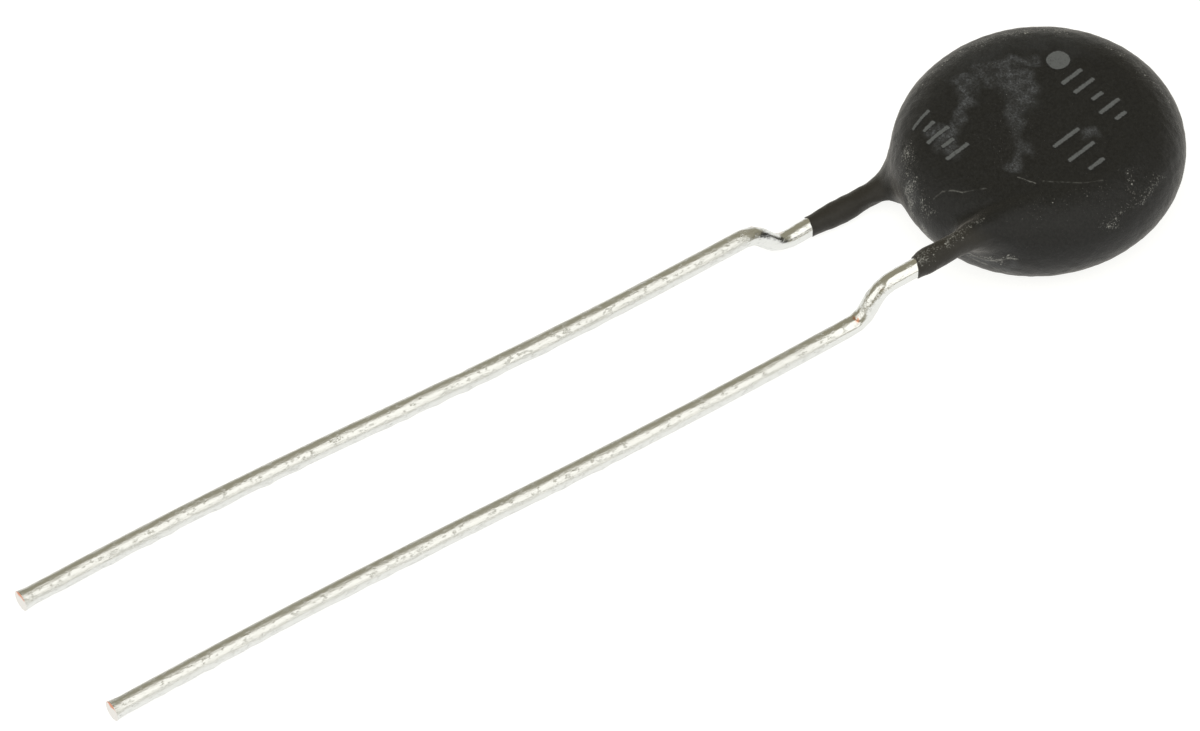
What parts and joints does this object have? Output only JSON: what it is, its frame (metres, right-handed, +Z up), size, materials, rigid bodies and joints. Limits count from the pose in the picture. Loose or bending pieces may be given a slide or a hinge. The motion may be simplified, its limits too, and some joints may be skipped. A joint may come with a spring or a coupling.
{
  "type": "ntc thermistor",
  "caption": "Inrush-limiting disc thermistor: ceramic disc in a black dipped coating, on long kinked radial leads of tinned copper.",
  "frame": {"origin": "bottom centre of the box of the whole part, as it lies on its back face", "axes": "+Y from the cut ends of the leads towards the disc, +Z up, +X towards the lead that leaves the front face"},
  "size_m": [0.015, 0.066, 0.0053],
  "materials": {
    "coating": "matte black dipped resin",
    "ceramic": "sintered, dark grey",
    "silver": "fired silver, matt",
    "solder": "solder, satin",
    "tinned_copper": "bright tin on copper"
  },
  "bodies": {
    "root": {"coating": "coating", "ceramic_disc": "ceramic", "front_electrode": "silver", "back_electrode": "silver", "front_solder": "solder", "back_solder": "solder", "front_lead": "tinned_copper", "back_lead": "tinned_copper"}
  },
  "joints": []
}
